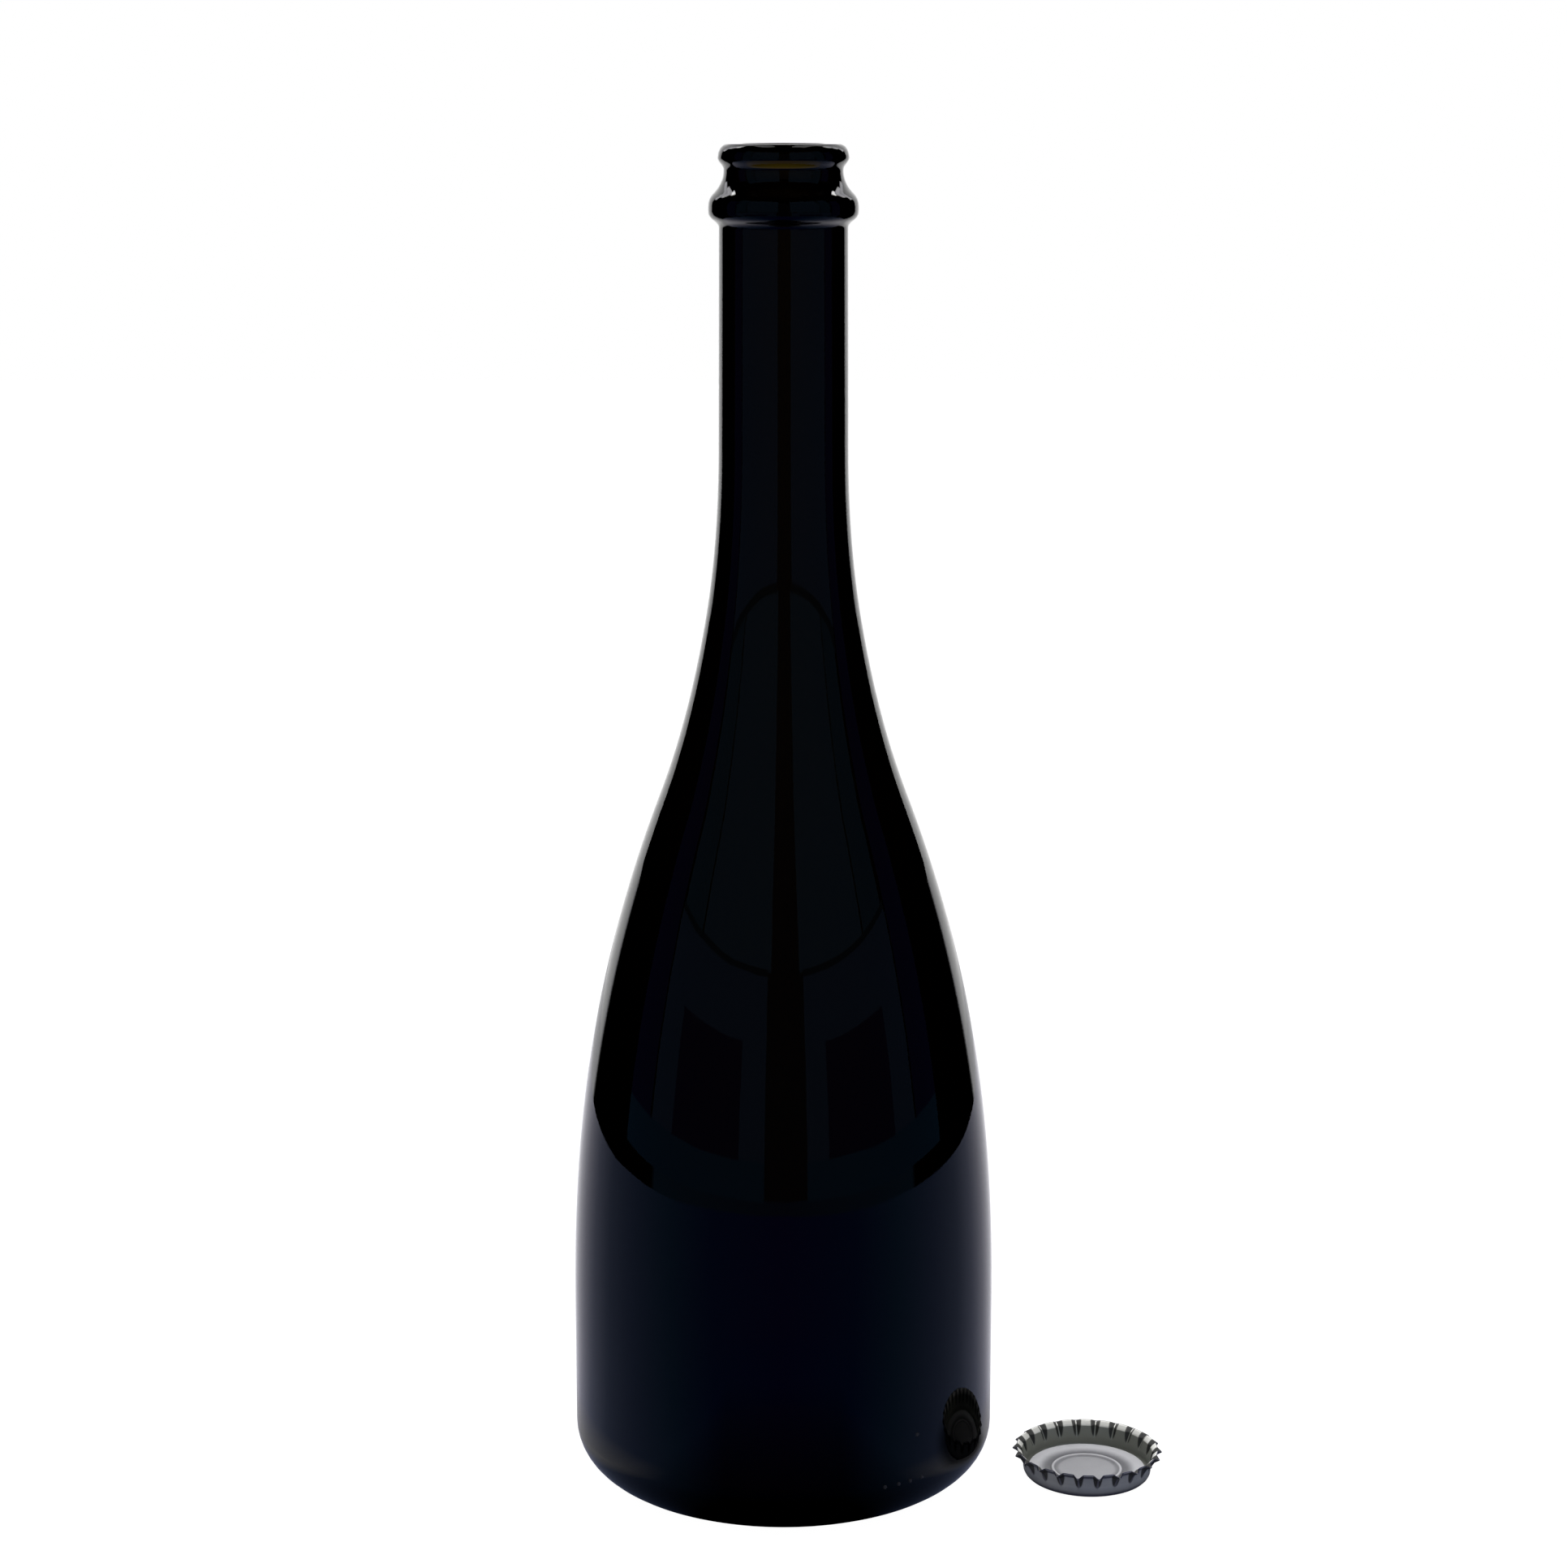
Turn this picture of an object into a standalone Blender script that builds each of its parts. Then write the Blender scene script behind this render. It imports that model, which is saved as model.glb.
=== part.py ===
"""Dark glass bottle with a crown finish, and its steel crown cap lying open side up beside it.

Metres, +Z up. The origin is on the table, in the middle of the box round bottle and cap.
"""

import math

import bpy

MM = 0.001

# Bottle, outside. The heights add up from the table to the rim.
body_radius = 48.75 * MM
body_height = 40.0 * MM
shoulder_height = 200.0 * MM
neck_height = 47.3 * MM
heel_radius = 11.0 * MM
neck_radius = 14.21 * MM
neck_taper = 0.26 * MM
bead_reach = 2.32 * MM
bead_under_height = 3.7 * MM
bead_over_height = 8.8 * MM
lip_radius = 14.4 * MM
lip_overhang = 1.29 * MM
lip_under_height = 2.5 * MM
lip_round_width = 2.2 * MM
lip_round_height = 3.1 * MM

# Bottle, underside and inside
bearing_width = 3.2 * MM
punt_depth = 23.0 * MM
punt_wall = 5.0 * MM
floor_thickness = 5.4 * MM
body_wall = 4.8 * MM
neck_wall = 4.01 * MM
lip_wall = 5.2 * MM
mouth_round = 0.9 * MM
inner_heel_radius = 8.0 * MM

# Crown cap, steel. It is sized to slip over the lip.
tooth_count = 22
sheet_thickness = 0.27 * MM
lip_clearance = 0.18 * MM
cap_height = 6.3 * MM
cap_corner_radius = 1.7 * MM
cap_wall_straight = 1.0 * MM
land_flare = 0.85 * MM
rim_flare = 0.9 * MM
rim_height = 0.75 * MM
fin_depth = 0.9 * MM
fin_drop = 0.7 * MM
fin_half_share = 0.25
fin_roundness = 1.15
land_curve = 1.3

# Sealing liner, moulded soft plastic
liner_seat_gap = 0.28 * MM
liner_side_gap = 0.93 * MM
liner_edge_thickness = 0.9 * MM
liner_chamfer = 0.3 * MM
seal_band_width = 3.5 * MM
groove_width = 1.7 * MM
groove_depth = 0.42 * MM
ring_width = 0.75 * MM
ring_slope = 0.18 * MM
ring_height = 0.36 * MM
centre_recess = 0.3 * MM

# Where the cap lies on the table
cap_gap = 4.75 * MM
cap_forward = 10.3 * MM
cap_turn = math.radians(-4.1)

# Facets, round the axis and along the profiles
bottle_steps = 48
heel_facets = 5
shoulder_facets = 15
bead_under_facets = 5
bead_over_facets = 7
lip_under_facets = 4
lip_facets = 5
mouth_facets = 2
inner_shoulder_facets = 10
inner_heel_facets = 4
inner_punt_facets = 6
punt_facets = 7
facets_per_tooth = 8
skirt_rows = 4
cap_corner_facets = 2
liner_steps = 40
crease_angle = math.radians(35)
merge_distance = 0.02 * MM

# Curves, each as (share of the rise, share of the change of radius, steepness in shares)
SHOULDER_SHARES = (
    (0.0, 0.0, 0.0),
    (0.3, 0.126, 0.95),
    (0.6, 0.598, 2.23),
    (0.8, 0.908, 1.01),
    (1.0, 1.0, 0.0),
)
BEAD_UNDER_SHARES = ((0.0, 0.0, 0.0), (0.43, 0.53, 2.17), (1.0, 1.0, 0.0))
BEAD_OVER_SHARES = ((0.0, 0.0, 0.0), (0.42, 0.33, 2.57), (1.0, 1.0, 0.0))
LIP_UNDER_SHARES = ((0.0, 0.0, 0.0), (1.0, 1.0, 0.0))

# Heights worked out from the sizes above
shoulder_top = body_height + shoulder_height
neck_top = shoulder_top + neck_height
bead_middle = neck_top + bead_under_height
waist_top = bead_middle + bead_over_height
lip_middle = waist_top + lip_under_height
bottle_height = lip_middle + lip_round_height

# Radii and places worked out from the sizes above
neck_base_radius = neck_radius + neck_taper
bead_radius = neck_radius + bead_reach
waist_radius = lip_radius - lip_overhang
neck_bore_radius = neck_radius - neck_wall
mouth_bore_radius = lip_radius - lip_wall
bearing_radius = body_radius - heel_radius
punt_radius = bearing_radius - bearing_width
inner_body_radius = body_radius - body_wall
groove_radius = inner_body_radius - inner_heel_radius
cap_wall_radius = lip_radius + lip_clearance + sheet_thickness
cap_wall_height = cap_corner_radius + cap_wall_straight
cap_land_radius = cap_wall_radius + land_flare
cap_rim_radius = cap_land_radius + rim_flare + fin_depth
cap_offset = body_radius + cap_gap + cap_rim_radius
bottle_x = -(cap_offset + cap_rim_radius - body_radius) / 2
cap_x = bottle_x + cap_offset


def smooth(shares, t):
    """Share of the change at t, along cubic pieces between the given stations."""
    for (t0, s0, m0), (t1, s1, m1) in zip(shares, shares[1:]):
        if t <= t1:
            break
    width = t1 - t0
    u = (t - t0) / width
    rise = u * u * (3 - 2 * u)
    start_pull = u * (1 - u) ** 2 * width * m0
    end_pull = u * u * (u - 1) * width * m1
    return s0 + (s1 - s0) * rise + start_pull + end_pull


def run_up(start, end, shares, count):
    """Profile points (radius, height) from start to end, without the end itself."""
    points = []
    for i in range(count):
        t = i / count
        radius = start[0] + (end[0] - start[0]) * smooth(shares, t)
        points.append((radius, start[1] + (end[1] - start[1]) * t))
    return points


def quarter(centre, half_width, half_height, first, last, count):
    """Points of an elliptical arc about the centre, from the first to the last angle in degrees."""
    points = []
    for i in range(count + 1):
        angle = math.radians(first + (last - first) * i / count)
        points.append((centre[0] + half_width * math.cos(angle), centre[1] + half_height * math.sin(angle)))
    return points


def dome(radius, foot, rise, count):
    """Points of a rounded hill from its foot at the radius to its top on the axis."""
    points = []
    for i in range(count):
        share = i / count
        points.append((radius * (1 - share), foot + rise * math.sin(math.pi / 2 * share)))
    return points + [(0.0, foot + rise)]


def outer_side():
    """The bottle's outside, from the table up to the rim."""
    heel_centre = (bearing_radius, heel_radius)
    wall_top = (body_radius, body_height)
    neck_base = (neck_base_radius, shoulder_top)
    bead = (bead_radius, bead_middle)
    waist = (waist_radius, waist_top)
    lip = (lip_radius, lip_middle)
    lip_centre = (lip_radius - lip_round_width, lip_middle)
    points = quarter(heel_centre, heel_radius, heel_radius, -90, 0, heel_facets)
    points += run_up(wall_top, neck_base, SHOULDER_SHARES, shoulder_facets)
    points.append(neck_base)
    points += run_up((neck_radius, neck_top), bead, BEAD_UNDER_SHARES, bead_under_facets)
    points += run_up(bead, waist, BEAD_OVER_SHARES, bead_over_facets)
    points += run_up(waist, lip, LIP_UNDER_SHARES, lip_under_facets)
    return points + quarter(lip_centre, lip_round_width, lip_round_height, 0, 90, lip_facets)


def inner_side():
    """The bottle's inside, from the top of the punt up to the rim."""
    punt_rise = punt_depth + punt_wall - floor_thickness
    heel_centre = (groove_radius, floor_thickness + inner_heel_radius)
    wall_top = (inner_body_radius, body_height)
    bore_foot = (neck_bore_radius, shoulder_top)
    mouth_centre = (mouth_bore_radius + mouth_round, bottle_height - mouth_round)
    points = dome(groove_radius, floor_thickness, punt_rise, inner_punt_facets)[::-1]
    points += quarter(heel_centre, inner_heel_radius, inner_heel_radius, -90, 0, inner_heel_facets)[1:]
    points += run_up(wall_top, bore_foot, SHOULDER_SHARES, inner_shoulder_facets)
    points += [bore_foot, (neck_bore_radius, bead_middle), (mouth_bore_radius, waist_top)]
    return points + quarter(mouth_centre, mouth_round, mouth_round, 180, 90, mouth_facets)


def bottle_profile():
    """One line from the inside of the punt, over the lip and down to the underside of the punt."""
    return inner_side() + outer_side()[::-1] + dome(punt_radius, 0.0, punt_depth, punt_facets)


def cup_profile():
    """The outer face of the plain cap before its teeth are pressed, from the rim down to the centre."""
    land_height = cap_height - rim_height - cap_wall_height
    corner_centre = (cap_wall_radius - cap_corner_radius, cap_corner_radius)
    points = [(cap_land_radius + rim_flare, cap_height)]
    for i in range(skirt_rows):
        share = 1 - i / skirt_rows
        radius = cap_wall_radius + land_flare * share**land_curve
        points.append((radius, cap_wall_height + land_height * share))
    points.append((cap_wall_radius, cap_wall_height))
    points += quarter(corner_centre, cap_corner_radius, cap_corner_radius, 0, -90, cap_corner_facets)
    return points + [(0.0, 0.0)]


def liner_profile():
    """The liner, from the middle of its upper face, over the edge and back under it to the axis."""
    bottom = sheet_thickness + liner_seat_gap
    top = bottom + liner_edge_thickness
    edge = cap_wall_radius - sheet_thickness - liner_side_gap
    band = edge - seal_band_width
    ring = band - groove_width
    groove = top - groove_depth
    crest = groove + ring_height
    centre = crest - centre_recess
    hollow = ring - ring_width
    return [
        (0.0, centre),
        (hollow - ring_slope, centre),
        (hollow, crest),
        (ring - ring_slope, crest),
        (ring, groove),
        (band - groove_depth, groove),
        (band, top),
        (edge - liner_chamfer, top),
        (edge, top - liner_chamfer),
        (edge, bottom + liner_chamfer),
        (edge - liner_chamfer, bottom),
        (0.0, bottom),
    ]


def finish_material(name, colour, roughness, metallic, transmission):
    """A Principled material."""
    material = bpy.data.materials.new(name)
    material.use_nodes = True
    shader = material.node_tree.nodes["Principled BSDF"]
    shader.inputs["Base Color"].default_value = (*colour, 1.0)
    shader.inputs["Roughness"].default_value = roughness
    shader.inputs["Metallic"].default_value = metallic
    shader.inputs["Transmission Weight"].default_value = transmission
    return material


def turned(name, profile, steps, collection):
    """An object whose profile, in the XZ plane, is turned about Z by a Screw modifier."""
    mesh = bpy.data.meshes.new(name)
    edges = [(i, i + 1) for i in range(len(profile) - 1)]
    mesh.from_pydata([(radius, 0.0, height) for radius, height in profile], edges, [])
    piece = bpy.data.objects.new(name, mesh)
    collection.objects.link(piece)
    screw = piece.modifiers.new("turn", "SCREW")
    screw.axis = "Z"
    screw.steps = steps
    screw.render_steps = steps
    screw.use_merge_vertices = True
    screw.merge_threshold = merge_distance
    return piece


def as_mesh(piece):
    """Turns the piece's modifiers into plain mesh."""
    evaluated = piece.evaluated_get(bpy.context.evaluated_depsgraph_get())
    mesh = bpy.data.meshes.new_from_object(evaluated)
    piece.modifiers.clear()
    piece.data = mesh


def press_teeth(mesh):
    """Folds the skirt into fins that widen, stand out and sag towards the rim, between flat lands."""
    skirt_height = cap_height - cap_wall_height
    for vertex in mesh.vertices:
        x, y, z = vertex.co
        share = (z - cap_wall_height) / skirt_height
        if share <= 0:
            continue
        turns = math.atan2(y, x) * tooth_count / math.tau
        from_fin = abs(turns - round(turns)) / (fin_half_share * share)
        fin = max(0.0, 1 - from_fin**fin_roundness)
        stretch = 1 + fin_depth * fin * share / math.hypot(x, y)
        vertex.co = (x * stretch, y * stretch, z - fin_drop * fin * share * share)


def round_shaded(mesh):
    """Smooth shading that keeps real edges."""
    mesh.shade_smooth()
    mesh.set_sharp_from_angle(angle=crease_angle)


def make_bottle(collection):
    """The glass body with its neck, bead and lip."""
    bottle = turned("bottle", bottle_profile(), bottle_steps, collection)
    as_mesh(bottle)
    round_shaded(bottle.data)
    bottle.location.x = bottle_x
    glass = finish_material("dark_glass", (0.02, 0.016, 0.006), 0.03, 0.0, 0.6)
    bottle.data.materials.append(glass)


def make_cap_shell(lift, collection):
    """The pressed steel cup with its toothed skirt."""
    steps = tooth_count * facets_per_tooth
    shell = turned("cap_shell", cup_profile(), steps, collection)
    as_mesh(shell)
    press_teeth(shell.data)
    round_shaded(shell.data)
    sheet = shell.modifiers.new("sheet", "SOLIDIFY")
    sheet.thickness = sheet_thickness
    sheet.offset = -1.0
    shell.parent = lift
    shell.data.materials.append(finish_material("tinplate", (0.42, 0.44, 0.46), 0.3, 1.0, 0.0))


def make_cap_liner(lift, collection):
    """The moulded sealing disc inside the cap."""
    liner = turned("cap_liner", liner_profile(), liner_steps, collection)
    as_mesh(liner)
    round_shaded(liner.data)
    liner.parent = lift
    liner.data.materials.append(finish_material("soft_plastic", (0.55, 0.56, 0.58), 0.45, 0.0, 0.0))


def main():
    for piece in list(bpy.data.objects):
        bpy.data.objects.remove(piece)
    parts = bpy.data.collections.new("crown_cap_bottle")
    bpy.context.scene.collection.children.link(parts)
    lift = bpy.data.objects.new("cap_lift", None)
    lift.location = (cap_x, -cap_forward, 0.0)
    lift.rotation_euler.z = cap_turn
    parts.objects.link(lift)
    make_bottle(parts)
    make_cap_shell(lift, parts)
    make_cap_liner(lift, parts)


main()
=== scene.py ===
"""Looks of a dark glass bottle with a crown finish and of its steel crown cap, on a plain pale floor."""

import math

import bpy
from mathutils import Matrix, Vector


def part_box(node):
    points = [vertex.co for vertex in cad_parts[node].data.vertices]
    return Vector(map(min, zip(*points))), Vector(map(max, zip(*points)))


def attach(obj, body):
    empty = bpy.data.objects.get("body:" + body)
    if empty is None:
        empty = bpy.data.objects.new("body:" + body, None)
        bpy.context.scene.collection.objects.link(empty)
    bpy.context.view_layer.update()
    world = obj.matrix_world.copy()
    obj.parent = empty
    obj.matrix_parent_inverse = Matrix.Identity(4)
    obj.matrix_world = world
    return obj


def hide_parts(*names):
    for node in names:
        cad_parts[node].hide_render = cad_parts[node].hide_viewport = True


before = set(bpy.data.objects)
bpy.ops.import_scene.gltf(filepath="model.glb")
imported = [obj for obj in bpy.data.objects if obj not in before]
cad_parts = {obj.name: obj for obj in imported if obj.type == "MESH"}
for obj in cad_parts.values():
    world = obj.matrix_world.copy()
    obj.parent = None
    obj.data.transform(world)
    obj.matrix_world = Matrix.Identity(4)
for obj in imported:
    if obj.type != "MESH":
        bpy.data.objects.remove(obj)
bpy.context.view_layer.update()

MM = 0.001

# Bottle, outside
body_radius = 48.75 * MM
body_height = 40.0 * MM
shoulder_height = 200.0 * MM
neck_height = 47.3 * MM
heel_radius = 11.0 * MM
neck_radius = 14.21 * MM
neck_taper = 0.26 * MM
bead_reach = 2.32 * MM
bead_under_height = 3.7 * MM
bead_over_height = 8.8 * MM
lip_radius = 14.4 * MM
lip_overhang = 1.29 * MM
lip_under_height = 2.5 * MM
lip_round_width = 2.2 * MM
lip_round_height = 3.1 * MM

# Bottle, underside and inside
bearing_width = 3.2 * MM
punt_depth = 23.0 * MM
punt_wall = 5.0 * MM
floor_thickness = 5.4 * MM
body_wall = 4.8 * MM
neck_wall = 4.01 * MM
lip_wall = 5.2 * MM
mouth_round = 0.9 * MM
inner_heel_radius = 8.0 * MM

# Crown cap. A fold is measured in shares of the distance between two teeth, and its flat crest is at
# most one part in crest_parts of its reach
tooth_count = 22
sheet_thickness = 0.27 * MM
lip_clearance = 0.18 * MM
cap_height = 6.3 * MM
cap_corner_radius = 1.7 * MM
fold_start = 2.6 * MM
land_flare = 0.65 * MM
land_curve = 1.3
rim_flare = 1.0 * MM
rim_height = 0.98 * MM
rim_curve = 1.15
fin_depth = 0.9 * MM
fin_drop = 0.6 * MM
fin_half_share = 0.26
fin_flat_share = 0.055
crest_parts = 3
fold_widening = 0.32
fold_deepening = 0.8
fold_sagging = 2
cap_turn = math.radians(-4.1)

# Sealing liner
liner_seat_gap = 0.28 * MM
liner_side_gap = 0.93 * MM
liner_edge_thickness = 0.9 * MM
seal_band_width = 3.5 * MM
groove_width = 1.7 * MM
groove_depth = 0.42 * MM
ring_width = 0.75 * MM
ring_height = 0.36 * MM
centre_recess = 0.18 * MM
moat_width = 1.1 * MM
moat_depth = 0.15 * MM

# Raised dots and a pip pressed into the glass by the mould. Their directions round the bottle are in
# degrees, where 0 faces the camera and 90 the cap
dot_radius = 0.5 * MM
dot_rise = 0.25 * MM
dot_foot_spread = 1.1
dot_height = 11.0 * MM
dot_azimuths = (27.8, 32.0, 35.8, 39.8)
pip_height = 21.6 * MM
pip_azimuth = 38.0

# Facets
round_steps = 256
heel_rows = 12
shoulder_rows = 90
crown_rows = 14
lip_rows = 12
mouth_rows = 6
inner_rows = 40
punt_rows = 16
steps_per_tooth = 24
land_rows = 14
rim_rows = 4
corner_rows = 5
liner_steps = 160
bend_rows = 6
dot_steps = 20
dot_rows = 5

# A profile point nearer to the axis than this lies on it
axis_reach = 0.0001 * MM

# Curves, each as (share of the rise, share of the change of radius, steepness in shares)
SHOULDER_SHARES = (
    (0.0, 0.0, 0.0),
    (0.3, 0.126, 0.95),
    (0.6, 0.598, 2.23),
    (0.8, 0.908, 1.01),
    (1.0, 1.0, 0.0),
)
BEAD_UNDER_SHARES = ((0.0, 0.0, 0.0), (0.43, 0.53, 2.17), (1.0, 1.0, 0.0))
BEAD_OVER_SHARES = ((0.0, 0.0, 0.0), (0.42, 0.33, 2.57), (1.0, 1.0, 0.0))
SOFT_STEP_SHARES = ((0.0, 0.0, 0.0), (1.0, 1.0, 0.0))

# Worked out from the sizes above
shoulder_top = body_height + shoulder_height
neck_top = shoulder_top + neck_height
bead_middle = neck_top + bead_under_height
waist_top = bead_middle + bead_over_height
lip_middle = waist_top + lip_under_height
bottle_height = lip_middle + lip_round_height
bead_radius = neck_radius + bead_reach
waist_radius = lip_radius - lip_overhang
neck_bore_radius = neck_radius - neck_wall
mouth_bore_radius = lip_radius - lip_wall
bearing_radius = body_radius - heel_radius
inner_body_radius = body_radius - body_wall
groove_radius = inner_body_radius - inner_heel_radius
cap_wall_radius = lip_radius + lip_clearance + sheet_thickness
liner_bottom = sheet_thickness + liner_seat_gap
liner_top = liner_bottom + liner_edge_thickness

# Places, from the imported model
bottle_low, bottle_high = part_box("bottle")
liner_low, liner_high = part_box("cap_liner")
bottle_x = (bottle_low.x + bottle_high.x) / 2
cap_x = (liner_low.x + liner_high.x) / 2
cap_y = (liner_low.y + liner_high.y) / 2

# Looks. A noise is (scale, detail, roughness) and a range is (from, to, value at from, value at to)
WHITE = (1.0, 1.0, 1.0)

# Glass
GLASS_RIPPLE = (38.0, 2.0, 0.4)
GLASS_FILM = (260.0, 5.0, 0.65)
FILM_TO_ROUGHNESS = (0.35, 0.75, 0.0, 0.05)
SOAK_TINT = (0.506, 0.455, 0.1)
# A little lighter than black: a painted glint on the small marks
THICK_GLASS_GLINT_TINT = (0.012, 0.012, 0.015)
soak_density = 1700.0
glass_ior = 1.52
thick_glass_roughness = 0.05
ripple_strength = 0.12
ripple_height = 0.6 * MM

# Steel. How far a face turns outward or sideways comes out in metres, so it is set against the radius
STEEL_PATCHES = (180.0, 4.0, 0.55)
STEEL_GRAIN = (2600.0, 3.0, 0.6)
PATCHES_TO_TINT = (0.35, 0.7, 0.0, 1.0)
PATCHES_TO_ROUGHNESS = (0.3, 0.7, 0.36, 0.46)
# Painted highlight inside the rim: less metallic there, so that it shows pale
RIM_HIGHLIGHT_TO_METAL = (0.0, 1.0, 0.75, 0.4)
OUTWARD_TO_INSIDE = (0.0, -0.15 * cap_wall_radius, 0.0, 1.0)
OUTWARD_TO_OUTSIDE = (0.0, 0.15 * cap_wall_radius, 0.0, 1.0)
# Painted shade on the sideways-turned flanks of the folds
SIDEWAYS_TO_FOLD_SHADE = (0.14 * cap_wall_radius, 0.42 * cap_wall_radius, 0.0, 0.9)
# Where the painted highlight inside the rim lies
HEIGHT_TO_RIM = (cap_height - 1.1 * rim_height, cap_height - 0.9 * rim_height, 0.0, 1.0)
# Painted shade on the outside, darker towards the floor
HEIGHT_TO_FOOT_SHADE = (0.15 * cap_height, 0.65 * cap_height, 0.6, 0.0)
# Painted shade on the cut edge and on faces turned down
UPWARD_TO_CUT_EDGE_SHADE = (0.2, 0.5, 0.0, 1.0)
UPWARD_TO_UNDERSIDE_SHADE = (-0.15, -0.5, 0.0, 0.85)
DULL_TINT = (0.5, 0.51, 0.52)
PATCH_TINT = (0.6, 0.61, 0.61)
# Painted shade of the outside near the floor
FOOT_SHADE_TINT = (0.16, 0.17, 0.22)
LACQUER_TINT = (0.52, 0.54, 0.48)
# Painted shade of the cut edge and the undersides
EDGE_AND_UNDERSIDE_SHADE_TINT = (0.06, 0.06, 0.12)
# Painted highlight inside the rim
RIM_HIGHLIGHT_TINT = (0.84, 0.84, 0.8)
# Painted shade in the folds
FOLD_SHADE_TINT = (0.04, 0.04, 0.04)
grain_strength = 0.12
grain_height = 0.04 * MM

# Liner
LINER_MOTTLE = (420.0, 4.0, 0.6)
LINER_SKIN = (1900.0, 3.0, 0.55)
MOTTLE_TO_CLOUD = (0.3, 0.7, -0.05, 0.05)
MOTTLE_TO_ROUGHNESS = (0.3, 0.7, 0.4, 0.5)
HEIGHT_TO_THICK = (liner_top - groove_depth, liner_top, 0.0, 1.0)
THIN_LINER_TINT = (0.12, 0.12, 0.132)
THICK_LINER_TINT = (0.45, 0.45, 0.474)
liner_ior = 1.5
skin_strength = 0.15
skin_height = 0.03 * MM


def smooth(shares, t):
    """Share of the change at t, along cubic pieces between the given stations."""
    for (t0, s0, m0), (t1, s1, m1) in zip(shares, shares[1:]):
        if t <= t1:
            break
    width = t1 - t0
    u = (t - t0) / width
    rise = u * u * (3 - 2 * u)
    start_pull = u * (1 - u) ** 2 * width * m0
    end_pull = u * u * (u - 1) * width * m1
    return s0 + (s1 - s0) * rise + start_pull + end_pull


def run(start, end, shares, count):
    """Profile points (radius, height) from start to end, without the end itself."""
    points = []
    for i in range(count):
        t = i / count
        radius = start[0] + (end[0] - start[0]) * smooth(shares, t)
        points.append((radius, start[1] + (end[1] - start[1]) * t))
    return points


def step_across(start, end):
    """Points of a soft S-shaped step whose height changes along its width, without the end itself."""
    points = []
    for i in range(bend_rows):
        t = i / bend_rows
        height = start[1] + (end[1] - start[1]) * smooth(SOFT_STEP_SHARES, t)
        points.append((start[0] + (end[0] - start[0]) * t, height))
    return points


def arc(centre, half_width, half_height, first, last, count):
    """Points of an elliptical arc about the centre, from the first to the last angle in degrees."""
    points = []
    for i in range(count + 1):
        angle = math.radians(first + (last - first) * i / count)
        points.append((centre[0] + half_width * math.cos(angle), centre[1] + half_height * math.sin(angle)))
    return points


def dome(radius, foot, rise):
    """Points of a rounded hill from its foot at the radius to its top on the axis."""
    points = []
    for i in range(punt_rows):
        share = i / punt_rows
        points.append((radius * (1 - share), foot + rise * math.sin(math.pi / 2 * share)))
    return points + [(0.0, foot + rise)]


def bottle_profile():
    """One line from the inside of the push-up, over the lip and down to its underside."""
    punt_rise = punt_depth + punt_wall - floor_thickness
    inner_heel = (groove_radius, floor_thickness + inner_heel_radius)
    inner_body = (inner_body_radius, body_height)
    bore_foot = (neck_bore_radius, shoulder_top)
    bore_top = (neck_bore_radius, bead_middle)
    mouth_foot = (mouth_bore_radius, waist_top)
    mouth_centre = (mouth_bore_radius + mouth_round, bottle_height - mouth_round)
    points = dome(groove_radius, floor_thickness, punt_rise)[::-1]
    points += arc(inner_heel, inner_heel_radius, inner_heel_radius, -90, 0, heel_rows)[1:]
    points += run(inner_body, bore_foot, SHOULDER_SHARES, inner_rows)
    points.append(bore_foot)
    points += run(bore_top, mouth_foot, SOFT_STEP_SHARES, mouth_rows)
    points.append(mouth_foot)
    points += arc(mouth_centre, mouth_round, mouth_round, 180, 90, mouth_rows)

    heel = (bearing_radius, heel_radius)
    neck_base = (neck_radius + neck_taper, shoulder_top)
    bead = (bead_radius, bead_middle)
    waist = (waist_radius, waist_top)
    lip_centre = (lip_radius - lip_round_width, lip_middle)
    outer = arc(heel, heel_radius, heel_radius, -90, 0, heel_rows)
    outer += run((body_radius, body_height), neck_base, SHOULDER_SHARES, shoulder_rows)
    outer.append(neck_base)
    outer += run((neck_radius, neck_top), bead, BEAD_UNDER_SHARES, crown_rows)
    outer += run(bead, waist, BEAD_OVER_SHARES, crown_rows)
    outer += run(waist, (lip_radius, lip_middle), SOFT_STEP_SHARES, crown_rows)
    outer += arc(lip_centre, lip_round_width, lip_round_height, 0, 90, lip_rows)
    return points + outer[::-1] + dome(bearing_radius - bearing_width, 0.0, punt_depth)


def cup_profile():
    """The outer face of the cap before its teeth are pressed, from the rim down to the centre."""
    foot_height = cap_height - rim_height
    land_radius = cap_wall_radius + land_flare
    points = []
    for i in range(rim_rows):
        share = 1 - i / rim_rows
        points.append((land_radius + rim_flare * share**rim_curve, foot_height + rim_height * share))
    for i in range(land_rows):
        share = 1 - i / land_rows
        radius = cap_wall_radius + land_flare * share**land_curve
        points.append((radius, fold_start + (foot_height - fold_start) * share))
    points.append((cap_wall_radius, fold_start))
    corner = (cap_wall_radius - cap_corner_radius, cap_corner_radius)
    points += arc(corner, cap_corner_radius, cap_corner_radius, 0, -90, corner_rows)
    return points + [(0.0, 0.0)]


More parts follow.
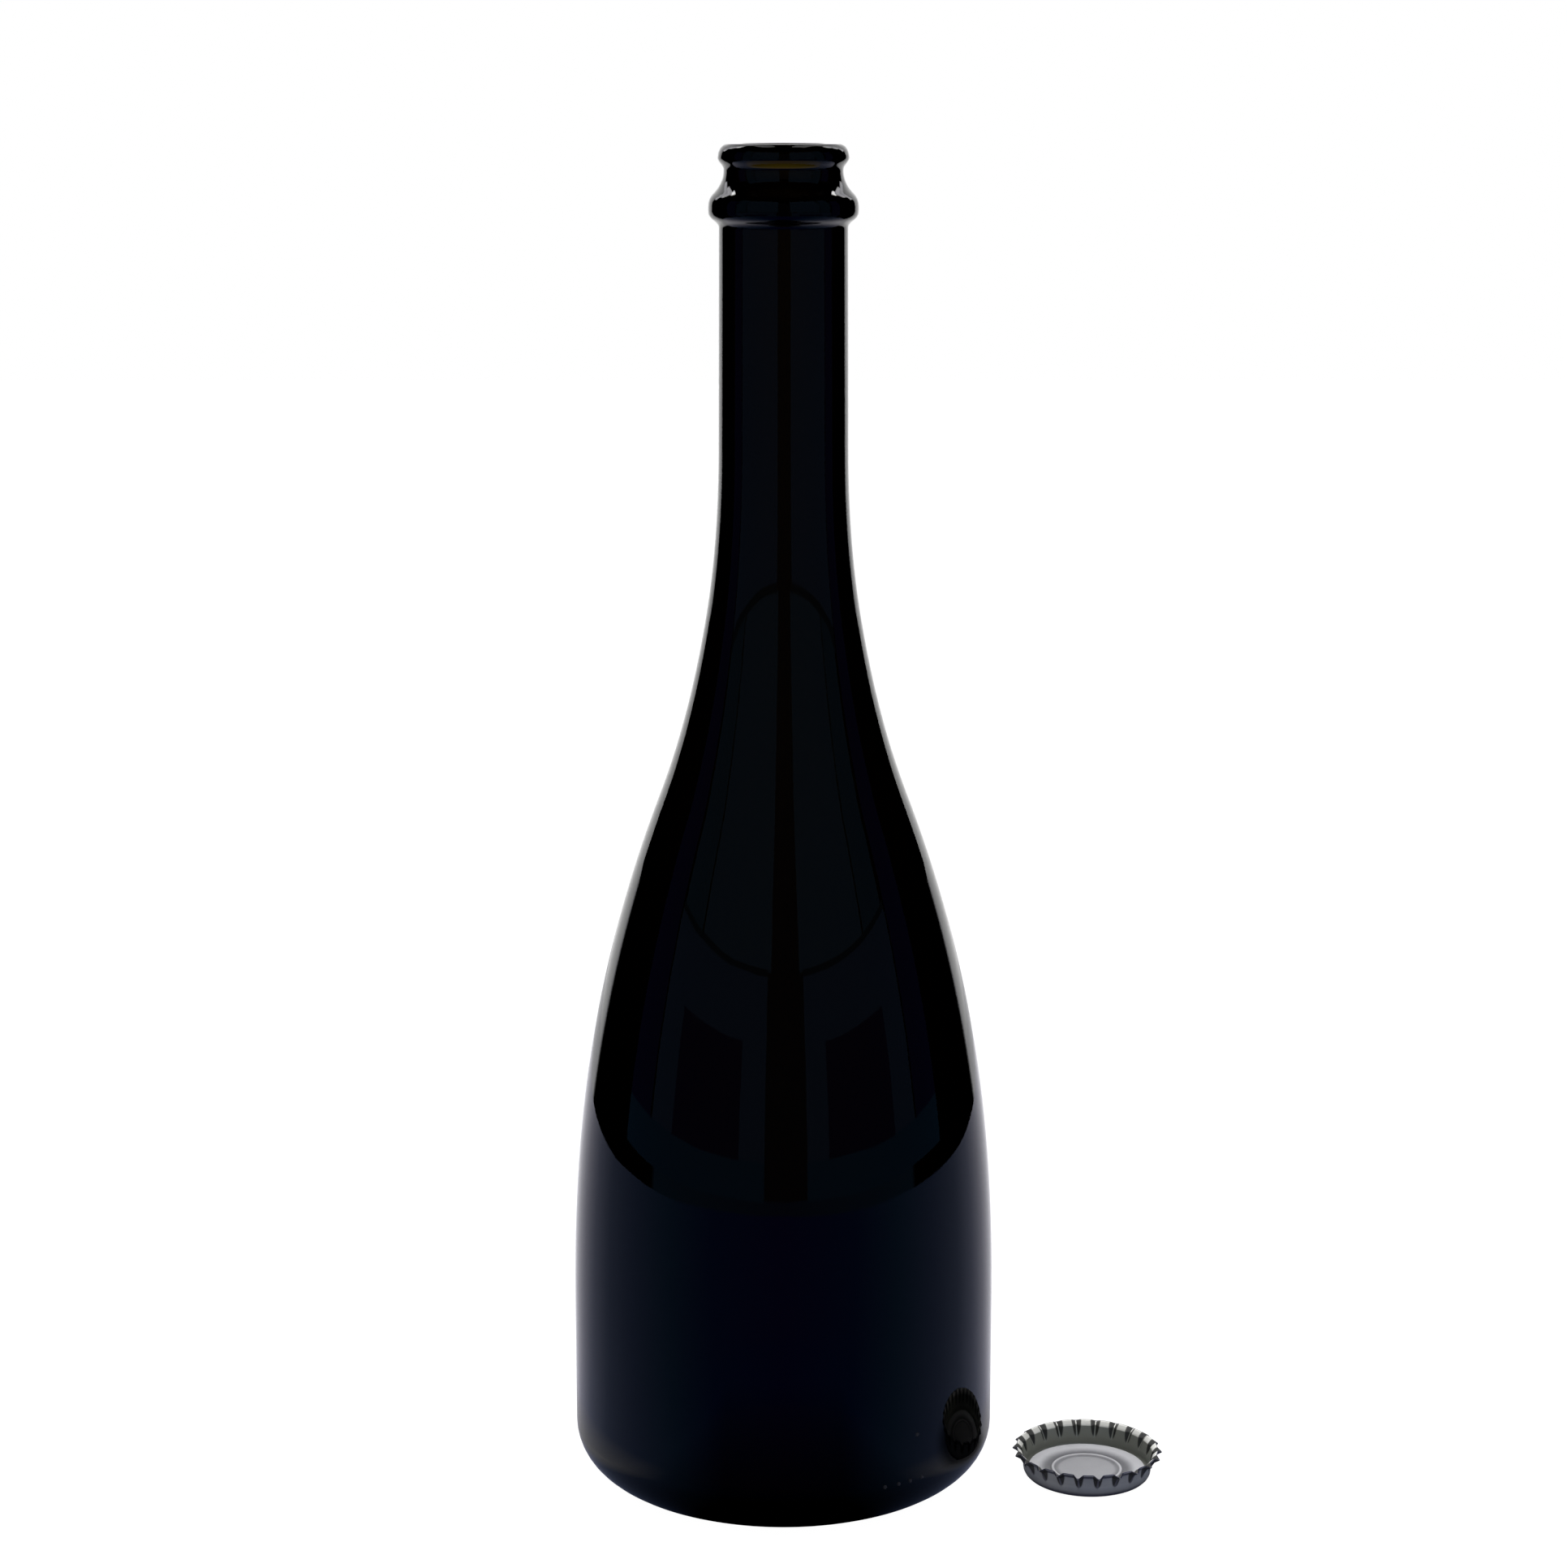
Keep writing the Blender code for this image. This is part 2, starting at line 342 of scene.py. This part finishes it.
def liner_profile():
    """The liner, from the middle of its upper face, over the edge and back under it to the axis."""
    edge = cap_wall_radius - sheet_thickness - liner_side_gap
    band = edge - seal_band_width
    ring = band - groove_width
    groove = liner_top - groove_depth
    crest = groove + ring_height
    centre = crest - centre_recess
    moat = centre - moat_depth
    slope = ring_width / 2
    hollow = ring - ring_width
    moat_outer = hollow - slope
    moat_inner = moat_outer - moat_width
    crest_inner = hollow + slope / 4
    band_foot = band - groove_width / 2
    band_top = band + seal_band_width / 2
    edge_round = liner_edge_thickness / 4
    points = [(0.0, centre)]
    points += step_across((moat_inner, centre), (moat_outer, moat))
    points += step_across((moat_outer, moat), (crest_inner, crest))
    points += step_across((ring - slope, crest), (ring, groove))
    points += step_across((band_foot, groove), (band_top, liner_top))
    points += arc((edge - edge_round, liner_top - edge_round), edge_round, edge_round, 90, 0, bend_rows)
    points += arc((edge - edge_round, liner_bottom + edge_round), edge_round, edge_round, 0, -90, bend_rows)
    return points + [(0.0, liner_bottom)]


def dot_profile():
    """A low rounded dot with a slightly wider foot that sits inside the glass."""
    foot = [(0.0, -dot_rise), (dot_radius * dot_foot_spread, -dot_rise)]
    return foot + arc((0.0, 0.0), dot_radius, dot_rise, 0, 90, dot_rows)[:-1] + [(0.0, dot_rise)]


def turned(name, profile, steps, place):
    """A smooth closed or open form: the profile turned about Z, with single points on the axis."""
    points = []
    rows = []
    for radius, height in profile:
        if radius < axis_reach:
            rows.append([len(points)] * steps)
            points.append((0.0, 0.0, height))
            continue
        rows.append(list(range(len(points), len(points) + steps)))
        for i in range(steps):
            angle = i * math.tau / steps
            points.append((radius * math.cos(angle), radius * math.sin(angle), height))
    faces = []
    for below, above in zip(rows, rows[1:]):
        for i in range(steps):
            j = (i + 1) % steps
            corners = dict.fromkeys((below[i], above[i], above[j], below[j]))
            faces.append(tuple(corners))
    mesh = bpy.data.meshes.new(name)
    mesh.from_pydata(points, [], faces)
    mesh.shade_smooth()
    piece = bpy.data.objects.new(name, mesh)
    bpy.context.scene.collection.objects.link(piece)
    piece.location = place
    return piece


def press_teeth(mesh):
    """Folds the skirt into fins that widen, stand out and sag towards the rim, between flat lands."""
    skirt_height = cap_height - fold_start
    for vertex in mesh.vertices:
        x, y, z = vertex.co
        share = (z - fold_start) / skirt_height
        if share <= 0:
            continue
        turns = (math.atan2(y, x) - cap_turn) * tooth_count / math.tau
        from_fin = abs(turns - round(turns))
        reach = fin_half_share * share**fold_widening
        flat = min(fin_flat_share, reach / crest_parts)
        fin = min(1.0, max(0.0, (reach - from_fin) / (reach - flat)))
        stretch = 1 + fin_depth * fin * share**fold_deepening / math.hypot(x, y)
        vertex.co = (x * stretch, y * stretch, z - fin_drop * fin * share**fold_sagging)


class Maker:
    """Adds nodes to a material, world or lamp and links them."""

    def __init__(self, tree):
        self.tree = tree

    def fill(self, node, inputs):
        """Links each input to its socket, or gives it its value."""
        for key, value in inputs.items():
            if isinstance(value, bpy.types.NodeSocket):
                self.tree.links.new(value, node.inputs[key])
            else:
                node.inputs[key].default_value = value

    def node(self, kind, inputs=(), **settings):
        made = self.tree.nodes.new(kind)
        for key, value in settings.items():
            setattr(made, key, value)
        self.fill(made, dict(inputs))
        return made

    def noise(self, coordinates, kind):
        inputs = dict(zip(("Vector", "Scale", "Detail", "Roughness"), (coordinates, *kind)))
        return self.node("ShaderNodeTexNoise", inputs).outputs["Fac"]

    def span(self, value, limits):
        inputs = {0: value, **dict(enumerate(limits, 1))}
        return self.node("ShaderNodeMapRange", inputs).outputs[0]

    def blend(self, share, first, second):
        """Goes from the first colour to the second, each a socket or (red, green, blue)."""
        inputs = {0: share}
        for key, colour in ((6, first), (7, second)):
            inputs[key] = colour if isinstance(colour, bpy.types.NodeSocket) else (*colour, 1.0)
        return self.node("ShaderNodeMix", inputs, data_type="RGBA").outputs[2]

    def mix_shaders(self, share, first, second):
        return self.node("ShaderNodeMixShader", {0: share, 1: first, 2: second}).outputs[0]

    def emission(self, colour, strength):
        return self.node("ShaderNodeEmission", {"Color": colour, "Strength": strength}).outputs[0]

    def math(self, operation, first, second):
        return self.node("ShaderNodeMath", {0: first, 1: second}, operation=operation).outputs[0]

    def product(self, first, second):
        return self.math("MULTIPLY", first, second)

    def absolute(self, value):
        return self.math("ABSOLUTE", value, 0.0)

    def remainder(self, share):
        return self.math("SUBTRACT", 1.0, share)

    def length(self, first, second):
        squares = self.math("ADD", self.math("POWER", first, 2.0), self.math("POWER", second, 2.0))
        return self.math("SQRT", squares, 0.0)

    def parts(self, vector):
        return self.node("ShaderNodeSeparateXYZ", {0: vector}).outputs

    def bump(self, height, strength, distance):
        inputs = {"Height": height, "Strength": strength, "Distance": distance}
        return self.node("ShaderNodeBump", inputs).outputs["Normal"]


def new_material(name):
    """A node material with its Maker, Principled shader and output."""
    material = bpy.data.materials.new(name)
    material.use_nodes = True
    shader = material.node_tree.nodes["Principled BSDF"]
    output = material.node_tree.nodes["Material Output"]
    return material, Maker(material.node_tree), shader, output


def bare_material(name):
    """A material without nodes and its Maker."""
    material = bpy.data.materials.new(name)
    material.use_nodes = True
    material.node_tree.nodes.clear()
    return material, Maker(material.node_tree)


def glass_material():
    """Nearly black bottle glass, amber where it is thin, with the slow ripple of blown glass."""
    material, make, shader, output = new_material("dark_glass_fire_polished")
    place = make.node("ShaderNodeTexCoord").outputs["Object"]
    film = make.noise(place, GLASS_FILM)
    ripple = make.noise(place, GLASS_RIPPLE)
    looks = {
        "Base Color": (*WHITE, 1.0),
        "IOR": glass_ior,
        "Transmission Weight": 1.0,
        "Roughness": make.span(film, FILM_TO_ROUGHNESS),
        "Normal": make.bump(ripple, ripple_strength, ripple_height),
    }
    make.fill(shader, looks)
    inputs = {"Color": (*SOAK_TINT, 1.0), "Density": soak_density}
    make.fill(output, {"Volume": make.node("ShaderNodeVolumeAbsorption", inputs).outputs[0]})
    return material


def thick_glass_material():
    """The same glass where nothing shines through it, for the small marks that stand on the bottle, a
    little lighter than black as a painted glint.
    """
    material, make, shader, _ = new_material("dark_glass_thick")
    looks = {"Base Color": (*THICK_GLASS_GLINT_TINT, 1.0), "IOR": glass_ior, "Roughness": thick_glass_roughness}
    make.fill(shader, looks)
    return material


def steel_material():
    """Satin tinplate, lacquered inside, with painted shade in its folds, on its cut edge, on faces turned
    down and on its outside towards the floor, and a pale painted highlight inside the rim.
    """
    material, make, shader, _ = new_material("satin_tinplate")
    where = make.node("ShaderNodeTexCoord").outputs
    patches = make.noise(where["Object"], STEEL_PATCHES)
    grain = make.noise(where["Object"], STEEL_GRAIN)
    at = make.parts(where["Object"])
    facing = make.parts(where["Normal"])
    outward = make.math("ADD", make.product(at["X"], facing["X"]), make.product(at["Y"], facing["Y"]))
    forward = make.product(at["X"], facing["Y"])
    sideways = make.math("SUBTRACT", forward, make.product(at["Y"], facing["X"]))
    inside = make.span(outward, OUTWARD_TO_INSIDE)
    outside = make.span(outward, OUTWARD_TO_OUTSIDE)
    # Painted shade: the outside darker towards the floor
    foot_shade = make.product(outside, make.span(at["Z"], HEIGHT_TO_FOOT_SHADE))
    # Painted shade on the outward cut edge and on faces turned down
    cut = make.product(outside, make.span(facing["Z"], UPWARD_TO_CUT_EDGE_SHADE))
    under = make.span(facing["Z"], UPWARD_TO_UNDERSIDE_SHADE)
    # Painted highlight: a pale band inside the rim
    rim_highlight = make.product(make.span(at["Z"], HEIGHT_TO_RIM), inside)
    # Painted shade on the folds' flanks
    fold_shade = make.span(make.absolute(sideways), SIDEWAYS_TO_FOLD_SHADE)
    colour = make.blend(make.span(patches, PATCHES_TO_TINT), DULL_TINT, PATCH_TINT)
    colour = make.blend(foot_shade, colour, FOOT_SHADE_TINT)
    colour = make.blend(inside, colour, LACQUER_TINT)
    colour = make.blend(make.math("MAXIMUM", under, cut), colour, EDGE_AND_UNDERSIDE_SHADE_TINT)
    colour = make.blend(rim_highlight, colour, RIM_HIGHLIGHT_TINT)
    colour = make.blend(fold_shade, colour, FOLD_SHADE_TINT)
    looks = {
        "Base Color": colour,
        "Roughness": make.span(patches, PATCHES_TO_ROUGHNESS),
        "Metallic": make.span(rim_highlight, RIM_HIGHLIGHT_TO_METAL),
        "Normal": make.bump(grain, grain_strength, grain_height),
    }
    make.fill(shader, looks)
    return material


def liner_material():
    """Moulded soft plastic, light grey where it is thick and stands high, darker where it is thin and low,
    in its groove and middle.
    """
    material, make, shader, _ = new_material("moulded_liner")
    place = make.node("ShaderNodeTexCoord").outputs["Object"]
    mottle = make.noise(place, LINER_MOTTLE)
    skin = make.noise(place, LINER_SKIN)
    thick = make.span(make.parts(place)["Z"], HEIGHT_TO_THICK)
    share = make.math("ADD", thick, make.span(mottle, MOTTLE_TO_CLOUD))
    looks = {
        "Base Color": make.blend(share, THIN_LINER_TINT, THICK_LINER_TINT),
        "IOR": liner_ior,
        "Roughness": make.span(mottle, MOTTLE_TO_ROUGHNESS),
        "Normal": make.bump(skin, skin_strength, skin_height),
    }
    make.fill(shader, looks)
    return material


def make_bottle(glass, thick_glass):
    """The smooth glass bottle and the small raised marks of its mould."""
    bottle = turned("bottle_glass", bottle_profile(), round_steps, (bottle_x, 0.0, 0.0))
    bottle.data.materials.append(glass)
    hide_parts("bottle")
    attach(bottle, "bottle")
    for index, azimuth in enumerate(dot_azimuths):
        add_dot(f"heel_dot_{index + 1}", azimuth, dot_height, thick_glass)
    add_dot("heel_pip", pip_azimuth, pip_height, thick_glass)


def wall_place(height):
    """Radius and outward slope of the bottle's heel and body at a height."""
    if height >= heel_radius:
        return body_radius, 0.0
    angle = math.asin((height - heel_radius) / heel_radius)
    return bearing_radius + heel_radius * math.cos(angle), angle


def add_dot(name, azimuth, height, glass):
    """A small rounded dot that stands proud of the glass."""
    radius, slope = wall_place(height)
    turn = math.radians(azimuth)
    place = (bottle_x + radius * math.sin(turn), -radius * math.cos(turn), height)
    dot = turned(name, dot_profile(), dot_steps, place)
    dot.rotation_euler = (math.pi / 2 - slope, 0.0, turn)
    dot.data.materials.append(glass)
    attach(dot, "bottle")


def make_cap(steel, plastic):
    """The pressed cap with its real sheet thickness, and the liner inside it."""
    shell = turned("crown_shell", cup_profile(), tooth_count * steps_per_tooth, (cap_x, cap_y, 0.0))
    press_teeth(shell.data)
    sheet = shell.modifiers.new("sheet", "SOLIDIFY")
    sheet.thickness = sheet_thickness
    sheet.offset = -1.0
    shell.data.materials.append(steel)
    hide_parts("cap_shell")
    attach(shell, "cap")
    liner = turned("crown_liner", liner_profile(), liner_steps, (cap_x, cap_y, 0.0))
    liner.data.materials.append(plastic)
    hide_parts("cap_liner")
    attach(liner, "cap")
    return shell


# Stage: a round tent of cards that only reflections see. Sizes are in metres, directions in degrees
# from the camera's side, and 1 is the level of white
floor_size = 6.0
floor_drop = 0.0002
floor_glow = 1.12
floor_glow_share = 0.88
FLOOR_TINT = (0.86, 0.86, 0.86)
tent_radius = 0.57
card_step = 6.0
back_edge = 140.7
back_height = 1.2
back_level = 0.82
back_glow = 1.35
back_half_width = tent_radius * math.sin(math.radians(180 - back_edge))
ACROSS_TO_BACK_LEVEL = (0.0, back_half_width, back_glow, back_level)
roof_height = 1.2
roof_front = -0.05
roof_level = 0.85
roof_gap = 0.11

# Tints of the cards
WALL_TINT = (0.03, 0.05, 0.09)
FOOT_TINT = (0.015, 0.045, 0.085)
UPPER_TINT = (0.03, 0.056, 0.088)
SIDE_TINT = (0.02, 0.045, 0.072)
OUTER_TINT = (0.01, 0.01, 0.045)
DARK_TINT = (0.009, 0.009, 0.014)
WINDOW_TINT = (0.012, 0.01, 0.034)
SEAM_TINT = (0.01, 0.018, 0.028)
LAMP_TINT = (9.0, 9.0, 9.0)
HIGH_TINT = (2.8, 2.8, 2.9)
GLOW_TINT = (1.9, 1.9, 2.0)

# Each card: name, first and last direction, lowest and highest point, share of the tent's radius, tint
CARDS = (
    ("wall_left", -77.0, -10.0, 0.045, 0.26, 1.0, WALL_TINT),
    ("wall_right", 12.5, 77.0, 0.045, 0.26, 1.0, WALL_TINT),
    ("foot_left", -95.0, -10.0, 0.0, 0.045, 1.0, FOOT_TINT),
    ("foot_right", 12.5, 95.0, 0.0, 0.045, 1.0, FOOT_TINT),
    ("window_left", -63.0, -24.0, 0.045, 0.177, 0.98, WINDOW_TINT),
    ("window_right", 24.5, 63.0, 0.045, 0.177, 0.98, WINDOW_TINT),
    ("seam_left", -77.0, -10.0, 0.256, 0.264, 0.98, SEAM_TINT),
    ("seam_right", 12.5, 77.0, 0.256, 0.264, 0.98, SEAM_TINT),
    ("upper_left", -57.0, -8.0, 0.264, 0.75, 1.0, UPPER_TINT),
    ("upper_right", 10.0, 56.0, 0.264, 0.75, 1.0, UPPER_TINT),
    ("side_left", -76.0, -58.0, 0.264, 0.75, 1.0, SIDE_TINT),
    ("side_right", 57.0, 75.0, 0.264, 0.75, 1.0, SIDE_TINT),
    ("outer_left", -95.0, -78.0, 0.045, 0.6, 1.0, OUTER_TINT),
    ("outer_right", 78.0, 95.0, 0.045, 0.6, 1.0, OUTER_TINT),
    ("post", -10.0, 12.5, 0.0, 0.6, 1.02, DARK_TINT),
    ("side_glow_left", -140.7, -133.0, 0.45, 0.98, 1.0, GLOW_TINT),
    ("side_glow_right", 133.0, 140.7, 0.45, 0.98, 1.0, GLOW_TINT),
    ("high_left", -133.0, -126.0, 0.6, 0.98, 1.0, HIGH_TINT),
    ("high_right", 126.0, 133.0, 0.6, 0.98, 1.0, HIGH_TINT),
    ("gap_behind", 163.0, 197.0, 0.52, 1.2, 0.99, DARK_TINT),
    ("lamp_left", -126.0, -121.0, 0.78, 0.94, 1.0, LAMP_TINT),
    ("lamp_right", 121.0, 126.0, 0.78, 0.94, 1.0, LAMP_TINT),
)

# What the floor gives back to reflections, as (direction, red, green, blue), on the table and beyond it
table_radius = 0.45
glow_centre = -0.035
FLOOR_STOPS = (
    (0.0, 0.010, 0.010, 0.085),
    (40.0, 0.008, 0.024, 0.100),
    (65.0, 0.030, 0.070, 0.140),
    (90.0, 0.080, 0.110, 0.210),
    (108.0, 0.130, 0.160, 0.260),
    (122.0, 0.250, 0.270, 0.380),
    (134.0, 0.450, 0.450, 0.550),
    (152.0, 0.840, 0.830, 0.900),
    (170.0, 1.150, 1.150, 1.200),
)
BEYOND_STOPS = (
    (0.0, 0.012, 0.020, 0.050),
    (76.0, 0.020, 0.050, 0.085),
    (78.0, 0.0, 0.0, 0.0),
    (139.0, 0.0, 0.0, 0.0),
    (142.0, 0.740, 0.740, 0.760),
)

# Close to the object, in reflections of the floor: a painted shadow under the bottle and the cap, and a
# painted pale glow beside the heel. ABOUT is the distance from the bottle's axis, ASIDE the distance to its
# left or right
HEEL_TINT = (0.42, 0.41, 0.41)
ABOUT_TO_FRONT_LEVEL = (0.06, 0.14, 0.0, 1.0)
ASIDE_TO_SIDE_LEVEL = (0.02, 0.06, 0.0, 1.0)
ABOUT_TO_HEEL_GLOW = (0.055, 0.075, 1.0, 0.0)
ASIDE_TO_HEEL_GLOW = (0.049, 0.059, 0.0, 1.0)
FROM_CAP_TO_LEVEL = (0.0155, 0.023, 0.2, 1.0)

# What is left of the lamp, the sky or a card by the number of mirrors between it and the eye
MIRRORS_TO_LIGHT = (0.0, 1.0, 1.0, 0.1)
MIRRORS_TO_CARD = (1.0, 2.0, 1.0, 0.25)

# Light and camera
sky_level = 0.62
lamp_place = (0.0, 0.15, 0.9)
lamp_size = 0.8
lamp_power = 9.0
camera_lens = 75.02
camera_sensor = 36.0
camera_distance = 0.726
camera_height = 0.3154
camera_tilt = math.radians(78.12)


def dimmed(make, limits):
    """The share that is left of a light after some mirrors."""
    return make.span(make.node("ShaderNodeLightPath").outputs["Glossy Depth"], limits)


def finish_glow(make, colour, level):
    """Ends a material in a plain emission that is dimmer where it is mirrored twice."""
    strength = make.product(dimmed(make, MIRRORS_TO_CARD), level)
    make.node("ShaderNodeOutputMaterial", {"Surface": make.emission((*colour, 1.0), strength)})


def glowing(name, colour, level):
    """A material that glows evenly."""
    material, make = bare_material(name)
    finish_glow(make, colour, level)
    return material


def backdrop_material():
    """A white glow that is strongest in the middle, right behind the bottle."""
    material, make = bare_material("backdrop_white")
    spot = make.node("ShaderNodeNewGeometry").outputs["Position"]
    across = make.math("SUBTRACT", make.parts(spot)["X"], bottle_x)
    finish_glow(make, WHITE, make.span(make.absolute(across), ACROSS_TO_BACK_LEVEL))
    return material


def stage_object(name, points, faces, material):
    """A mesh of the stage, which isn't part of the object."""
    mesh = bpy.data.meshes.new(name)
    mesh.from_pydata(points, [], faces)
    mesh.materials.append(material)
    piece = bpy.data.objects.new(name, mesh)
    bpy.context.scene.collection.objects.link(piece)
    return piece


def only_reflected(piece):
    """Hides a card from everything but reflections."""
    piece.visible_camera = False
    piece.visible_diffuse = False
    piece.visible_shadow = False
    piece.visible_transmission = False
    piece.visible_volume_scatter = False


def round_card(name, first, last, low, high, radius, material):
    """A card bent round the bottle's axis, from the first to the last direction."""
    count = max(1, round((last - first) / card_step))
    points = []
    for i in range(count + 1):
        turn = math.radians(first + (last - first) * i / count)
        x = bottle_x + radius * math.sin(turn)
        y = -radius * math.cos(turn)
        points += [(x, y, low), (x, y, high)]
    faces = []
    for i in range(count):
        a = 2 * i
        faces.append((a, a + 2, a + 3, a + 1))
    only_reflected(stage_object(name, points, faces, material))


def ramp(make, stops, share):
    """A colour ramp over the directions from 0 to 180 degrees."""
    node = make.node("ShaderNodeValToRGB", {0: share})
    table = node.color_ramp
    while len(table.elements) < len(stops):
        table.elements.new(1.0)
    for element, (direction, *colour) in zip(table.elements, stops):
        element.position = direction / 180
        element.color = (*colour, 1.0)
    return node.outputs[0]


def mirrored_floor(make, cap):
    """What reflections see of the floor: darker towards the front, with a painted shadow under the bottle
    and cap and a painted pale glow beside the heel.
    """
    spot = make.parts(make.node("ShaderNodeNewGeometry").outputs["Position"])
    across = make.math("SUBTRACT", spot["X"], bottle_x)
    behind = make.math("SUBTRACT", spot["Y"], glow_centre)
    aside = make.absolute(across)
    about = make.length(across, spot["Y"])
    turn = make.math("ARCTAN2", aside, make.product(behind, -1.0))
    share = make.math("DIVIDE", turn, math.pi)
    beyond = make.math("GREATER_THAN", make.length(aside, behind), table_radius)
    tint = make.blend(beyond, ramp(make, FLOOR_STOPS, share), ramp(make, BEYOND_STOPS, share))
    # Painted pale glow beside the heel
    by_heel = make.product(make.span(about, ABOUT_TO_HEEL_GLOW), make.span(aside, ASIDE_TO_HEEL_GLOW))
    tint = make.blend(by_heel, tint, HEEL_TINT)
    # Painted shadow under the bottle and the cap
    before = make.span(about, ABOUT_TO_FRONT_LEVEL)
    by_bottle = make.math("MAXIMUM", before, make.span(aside, ASIDE_TO_SIDE_LEVEL))
    from_cap = make.node("ShaderNodeTexCoord", object=cap).outputs["Object"]
    reach = make.node("ShaderNodeVectorMath", {0: from_cap}, operation="LENGTH").outputs["Value"]
    level = make.product(by_bottle, make.span(reach, FROM_CAP_TO_LEVEL))
    return make.emission(tint, make.product(dimmed(make, MIRRORS_TO_CARD), level))


def seen_straight(make, ray):
    """1 for what the camera sees directly or through glass."""
    return make.math("MAXIMUM", ray["Is Camera Ray"], ray["Is Transmission Ray"])


def floor_material(cap):
    """White to the camera but for a faint contact shadow, and the floor's own glow to reflections."""
    material, make = bare_material("pale_floor")
    ray = make.node("ShaderNodeLightPath").outputs
    white = make.node("ShaderNodeBsdfDiffuse", {"Color": (*FLOOR_TINT, 1.0)}).outputs[0]
    seen = make.mix_shaders(floor_glow_share, white, make.emission((*WHITE, 1.0), floor_glow))
    straight = seen_straight(make, ray)
    only_gloss = make.product(ray["Is Glossy Ray"], make.remainder(straight))
    surface = make.mix_shaders(straight, white, seen)
    surface = make.mix_shaders(only_gloss, surface, mirrored_floor(make, cap))
    make.node("ShaderNodeOutputMaterial", {"Surface": surface})
    return material


def make_stage(cap):
    """The floor, the bright backdrop and roof, and the dim tent walls that the dark glass mirrors."""
    half = floor_size / 2
    square = [(-half, -half, 0.0), (half, -half, 0.0), (half, half, 0.0), (-half, half, 0.0)]
    floor = stage_object("floor", square, [(0, 1, 2, 3)], floor_material(cap))
    floor.location.z = -floor_drop
    for name, first, last, low, high, share, tint in CARDS:
        round_card(name, first, last, low, high, tent_radius * share, glowing(name, tint, 1.0))
    round_card("backdrop", back_edge, 360 - back_edge, 0.0, back_height, tent_radius, backdrop_material())
    roof_white = glowing("roof_white", WHITE, roof_level)
    for name, side in (("roof_left", -1), ("roof_right", 1)):
        inner = side * roof_gap
        outer = side * back_half_width
        corners = [(inner, roof_front), (outer, roof_front), (outer, tent_radius), (inner, tent_radius)]
        roof = [(bottle_x + x, y, roof_height) for x, y in corners]
        only_reflected(stage_object(name, roof, [(0, 1, 2, 3)], roof_white))


def make_world():
    """White to the camera and through glass, plain soft light for the surfaces, dark in reflections."""
    world = bpy.data.worlds.new("studio")
    bpy.context.scene.world = world
    world.use_nodes = True
    world.node_tree.nodes.clear()
    make = Maker(world.node_tree)
    ray = make.node("ShaderNodeLightPath").outputs
    soft = make.product(dimmed(make, MIRRORS_TO_LIGHT), sky_level)
    base = make.product(soft, make.remainder(ray["Is Glossy Ray"]))
    level = make.math("MAXIMUM", seen_straight(make, ray), base)
    sky = make.node("ShaderNodeBackground", {"Color": (*WHITE, 1.0), "Strength": level})
    make.node("ShaderNodeOutputWorld", {"Surface": sky.outputs[0]})


def make_lamp():
    """A soft square lamp above and behind the bottle, aimed at the middle of the floor."""
    data = bpy.data.lights.new("top_light", "AREA")
    data.size = lamp_size
    data.energy = lamp_power
    data.use_nodes = True
    make = Maker(data.node_tree)
    make.fill(data.node_tree.nodes["Emission"], {"Strength": dimmed(make, MIRRORS_TO_LIGHT)})
    lamp = bpy.data.objects.new("top_light", data)
    bpy.context.scene.collection.objects.link(lamp)
    lamp.location = lamp_place
    lamp.visible_glossy = False
    x, y, z = lamp_place
    lamp.rotation_euler = (math.atan2(math.hypot(x, y), z), 0.0, math.atan2(-y, -x) - math.pi / 2)


def make_camera():
    """The photograph's viewing angle and lens."""
    data = bpy.data.cameras.new("camera")
    data.lens = camera_lens
    data.sensor_width = camera_sensor
    camera = bpy.data.objects.new("camera", data)
    bpy.context.scene.collection.objects.link(camera)
    camera.location = (bottle_x, -camera_distance, camera_height)
    camera.rotation_euler = (camera_tilt, 0.0, 0.0)
    bpy.context.scene.camera = camera


make_bottle(glass_material(), thick_glass_material())
cap_object = make_cap(steel_material(), liner_material())
make_stage(cap_object)
make_world()
make_lamp()
make_camera()
bpy.context.scene.view_settings.view_transform = "Standard"
